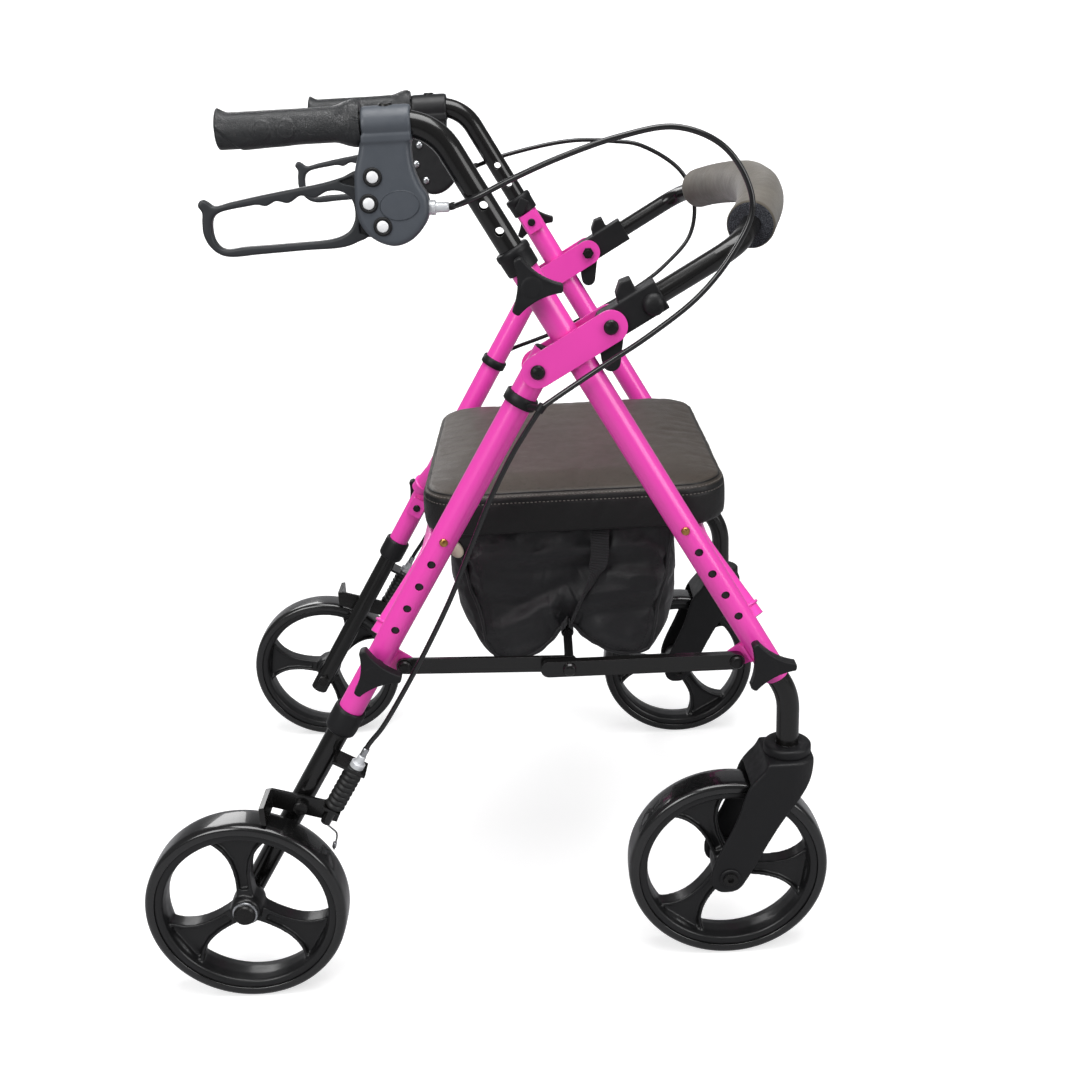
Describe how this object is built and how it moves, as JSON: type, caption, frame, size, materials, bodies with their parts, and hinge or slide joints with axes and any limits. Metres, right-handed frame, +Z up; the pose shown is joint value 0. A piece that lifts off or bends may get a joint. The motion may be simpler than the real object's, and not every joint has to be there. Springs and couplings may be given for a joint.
{
  "type": "rollator walker",
  "caption": "Folding four-wheeled walker with telescoping legs, hand brakes, padded seat, storage bag and a tilting padded backrest.",
  "frame": {"origin": "on the ground midway between the front and rear axles and between the side frames", "axes": "+X forward (travel direction), +Y to the user's left, +Z up"},
  "size_m": [0.6932, 0.6, 0.8604],
  "materials": {
    "frame_pink": "glossy powder coat",
    "tube_black": "gloss powder coat",
    "plastic_black": "satin moulded",
    "housing_grey": "satin moulded",
    "grip_rubber": "leathery texture",
    "tyre_black": "smooth polyurethane",
    "rim_black": "satin gloss",
    "steel_black": "black zinc",
    "brass": "worn",
    "steel_zinc": "zinc plated",
    "seat_vinyl": "fine grain vinyl",
    "foam_taupe": "closed cell foam",
    "bag_nylon": "coated nylon",
    "webbing_black": "woven webbing",
    "cable_black": "gloss sheath"
  },
  "bodies": {
    "front_frame": {"front_frame": "frame_pink", "upper_collars": "plastic_black", "pivot_bolts": "steel_black", "brake_cables_upper": "cable_black"},
    "rear_frame": {"rear_frame": "frame_pink", "rear_tube_caps": "plastic_black", "link_bolts": "steel_black", "brake_cables_lower": "cable_black"},
    "front_links": {"front_links": "tube_black"},
    "rear_links": {"rear_links": "tube_black", "link_cross_rod": "tube_black", "pull_strap": "webbing_black"},
    "seat": {"seat_cushion": "seat_vinyl", "seat_board": "plastic_black", "bag": "bag_nylon"},
    "backrest": {"backrest_tube": "tube_black", "backrest_foam": "foam_taupe", "backrest_brackets": "plastic_black"},
    "handle_left": {"handle_tube_left": "tube_black", "grip_left": "grip_rubber", "brake_housing_left": "housing_grey"},
    "cam_left": {"brake_cam_left": "steel_zinc"},
    "lever_left": {"brake_lever_left": "housing_grey"},
    "rear_leg_left": {"rear_leg_left": "tube_black", "rear_axle_left": "steel_black", "brake_spring_cover_left": "plastic_black"},
    "brake_arm_left": {"brake_arm_left": "tube_black"},
    "rear_wheel_left": {"rim_rear_left": "rim_black", "tyre_rear_left": "tyre_black"},
    "front_leg_left": {"front_leg_left": "tube_black"},
    "caster_left": {"caster_fork_left": "plastic_black", "front_axle_left": "steel_black"},
    "front_wheel_left": {"rim_front_left": "rim_black", "tyre_front_left": "tyre_black"},
    "knob_upper_left": {"knob_upper_left": "plastic_black"},
    "knob_front_left": {"knob_front_left": "plastic_black"},
    "knob_rear_left": {"knob_rear_left": "plastic_black"},
    "button_front_left": {"button_front_left": "brass"},
    "button_rear_left": {"button_rear_left": "brass"},
    "handle_right": {"handle_tube_right": "tube_black", "grip_right": "grip_rubber", "brake_housing_right": "housing_grey"},
    "cam_right": {"brake_cam_right": "steel_zinc"},
    "lever_right": {"brake_lever_right": "housing_grey"},
    "rear_leg_right": {"rear_leg_right": "tube_black", "rear_axle_right": "steel_black", "brake_spring_cover_right": "plastic_black"},
    "brake_arm_right": {"brake_arm_right": "tube_black"},
    "rear_wheel_right": {"rim_rear_right": "rim_black", "tyre_rear_right": "tyre_black"},
    "front_leg_right": {"front_leg_right": "tube_black"},
    "caster_right": {"caster_fork_right": "plastic_black", "front_axle_right": "steel_black"},
    "front_wheel_right": {"rim_front_right": "rim_black", "tyre_front_right": "tyre_black"},
    "knob_upper_right": {"knob_upper_right": "plastic_black"},
    "knob_front_right": {"knob_front_right": "plastic_black"},
    "knob_rear_right": {"knob_rear_right": "plastic_black"},
    "button_front_right": {"button_front_right": "brass"},
    "button_rear_right": {"button_rear_right": "brass"}
  },
  "joints": [
    {"name": "frame_fold", "type": "hinge", "parent": "front_frame", "child": "rear_frame", "pos_m": [0.0756, 0, 0.6293], "axis": [0, -1, 0], "range_deg": [0, 35], "deforming": ["bag", "pull_strap", "brake_cables_lower"]},
    {"name": "front_link_pivot", "type": "hinge", "parent": "front_frame", "child": "front_links", "pos_m": [0.2531, 0, 0.3349], "axis": [0, 1, 0], "range_deg": [0, 54.65]},
    {"name": "rear_link_pivot", "type": "hinge", "parent": "rear_frame", "child": "rear_links", "pos_m": [-0.0689, 0, 0.3407], "axis": [0, -1, 0], "range_deg": [0, 43.42]},
    {"name": "seat_hinge", "type": "hinge", "parent": "front_frame", "child": "seat", "pos_m": [0.224, 0, 0.437], "axis": [0, 1, 0], "range_deg": [0, 56.77]},
    {"name": "backrest_tilt", "type": "hinge", "parent": "front_frame", "child": "backrest", "pos_m": [0.1414, 0, 0.666], "axis": [0, -1, 0], "range_deg": [0, 86]},
    {"name": "handle_height_left", "type": "slide", "parent": "front_frame", "child": "handle_left", "axis": [-0.4879, 0, 0.8729], "range_m": [-0.0508, 0.0762], "deforming": ["brake_cables_upper"]},
    {"name": "brake_squeeze_left", "type": "hinge", "parent": "handle_left", "child": "cam_left", "pos_m": [-0.0497, 0.24, 0.7613], "axis": [0, 1, 0], "range_deg": [0, 12]},
    {"name": "brake_park_left", "type": "hinge", "parent": "cam_left", "child": "lever_left", "pos_m": [-0.0497, 0.24, 0.7613], "axis": [0, -1, 0], "range_deg": [0, 22]},
    {"name": "rear_leg_height_left", "type": "slide", "parent": "rear_frame", "child": "rear_leg_left", "axis": [-0.5192, 0, -0.8546], "range_m": [0, 0.1016]},
    {"name": "brake_arm_pivot_left", "type": "hinge", "parent": "rear_leg_left", "child": "brake_arm_left", "pos_m": [-0.1832, 0.256, 0.2004], "axis": [0, -1, 0], "range_deg": [0, 4]},
    {"name": "rear_wheel_spin_left", "type": "hinge", "parent": "rear_leg_left", "child": "rear_wheel_left", "pos_m": [-0.245, 0.277, 0.1016], "axis": [0, 1, 0], "continuous": true},
    {"name": "front_leg_height_left", "type": "slide", "parent": "front_frame", "child": "front_leg_left", "axis": [0.4879, 0, -0.8729], "range_m": [0, 0.1016]},
    {"name": "caster_swivel_left", "type": "hinge", "parent": "front_leg_left", "child": "caster_left", "pos_m": [0.3055, 0.24, 0.2215], "axis": [0, 0, 1], "continuous": true},
    {"name": "front_wheel_spin_left", "type": "hinge", "parent": "caster_left", "child": "front_wheel_left", "pos_m": [0.245, 0.24, 0.1016], "axis": [0, 1, 0], "continuous": true},
    {"name": "knob_turn_upper_left", "type": "hinge", "parent": "front_frame", "child": "knob_upper_left", "pos_m": [0.07413, 0.265, 0.70612], "axis": [0, 1, 0], "continuous": true},
    {"name": "knob_turn_front_left", "type": "hinge", "parent": "front_frame", "child": "knob_front_left", "pos_m": [0.28017, 0.265, 0.3375], "axis": [0, 1, 0], "continuous": true},
    {"name": "knob_turn_rear_left", "type": "hinge", "parent": "rear_frame", "child": "knob_rear_left", "pos_m": [-0.09522, 0.265, 0.34814], "axis": [0, 1, 0], "continuous": true},
    {"name": "button_press_front_left", "type": "slide", "parent": "front_frame", "child": "button_front_left", "axis": [0, -1, 0], "range_m": [0, 0.003]},
    {"name": "button_press_rear_left", "type": "slide", "parent": "rear_frame", "child": "button_rear_left", "axis": [0, -1, 0], "range_m": [0, 0.003]},
    {"name": "handle_height_right", "type": "slide", "parent": "front_frame", "child": "handle_right", "axis": [-0.4879, 0, 0.8729], "range_m": [-0.0508, 0.0762]},
    {"name": "brake_squeeze_right", "type": "hinge", "parent": "handle_right", "child": "cam_right", "pos_m": [-0.0497, -0.24, 0.7613], "axis": [0, 1, 0], "range_deg": [0, 12]},
    {"name": "brake_park_right", "type": "hinge", "parent": "cam_right", "child": "lever_right", "pos_m": [-0.0497, -0.24, 0.7613], "axis": [0, -1, 0], "range_deg": [0, 22]},
    {"name": "rear_leg_height_right", "type": "slide", "parent": "rear_frame", "child": "rear_leg_right", "axis": [-0.5192, 0, -0.8546], "range_m": [0, 0.1016]},
    {"name": "brake_arm_pivot_right", "type": "hinge", "parent": "rear_leg_right", "child": "brake_arm_right", "pos_m": [-0.1832, -0.256, 0.2004], "axis": [0, -1, 0], "range_deg": [0, 4]},
    {"name": "rear_wheel_spin_right", "type": "hinge", "parent": "rear_leg_right", "child": "rear_wheel_right", "pos_m": [-0.245, -0.277, 0.1016], "axis": [0, 1, 0], "continuous": true},
    {"name": "front_leg_height_right", "type": "slide", "parent": "front_frame", "child": "front_leg_right", "axis": [0.4879, 0, -0.8729], "range_m": [0, 0.1016]},
    {"name": "caster_swivel_right", "type": "hinge", "parent": "front_leg_right", "child": "caster_right", "pos_m": [0.3055, -0.24, 0.2215], "axis": [0, 0, 1], "continuous": true},
    {"name": "front_wheel_spin_right", "type": "hinge", "parent": "caster_right", "child": "front_wheel_right", "pos_m": [0.245, -0.24, 0.1016], "axis": [0, 1, 0], "continuous": true},
    {"name": "knob_turn_upper_right", "type": "hinge", "parent": "front_frame", "child": "knob_upper_right", "pos_m": [0.07413, -0.265, 0.70612], "axis": [0, 1, 0], "continuous": true},
    {"name": "knob_turn_front_right", "type": "hinge", "parent": "front_frame", "child": "knob_front_right", "pos_m": [0.28017, -0.265, 0.3375], "axis": [0, 1, 0], "continuous": true},
    {"name": "knob_turn_rear_right", "type": "hinge", "parent": "rear_frame", "child": "knob_rear_right", "pos_m": [-0.09522, -0.265, 0.34814], "axis": [0, 1, 0], "continuous": true},
    {"name": "button_press_front_right", "type": "slide", "parent": "front_frame", "child": "button_front_right", "axis": [0, 1, 0], "range_m": [0, 0.003]},
    {"name": "button_press_rear_right", "type": "slide", "parent": "rear_frame", "child": "button_rear_right", "axis": [0, 1, 0], "range_m": [0, 0.003]}
  ],
  "couplings": [
    {"joint": "front_link_pivot", "follows": "frame_fold", "ratio": 1.5611},
    {"joint": "rear_link_pivot", "follows": "frame_fold", "ratio": 1.2404},
    {"joint": "seat_hinge", "follows": "frame_fold", "ratio": 1.6216},
    {"joint": "brake_arm_pivot_left", "follows": "brake_squeeze_left", "ratio": 0.33333},
    {"joint": "brake_arm_pivot_right", "follows": "brake_squeeze_right", "ratio": 0.33333}
  ]
}
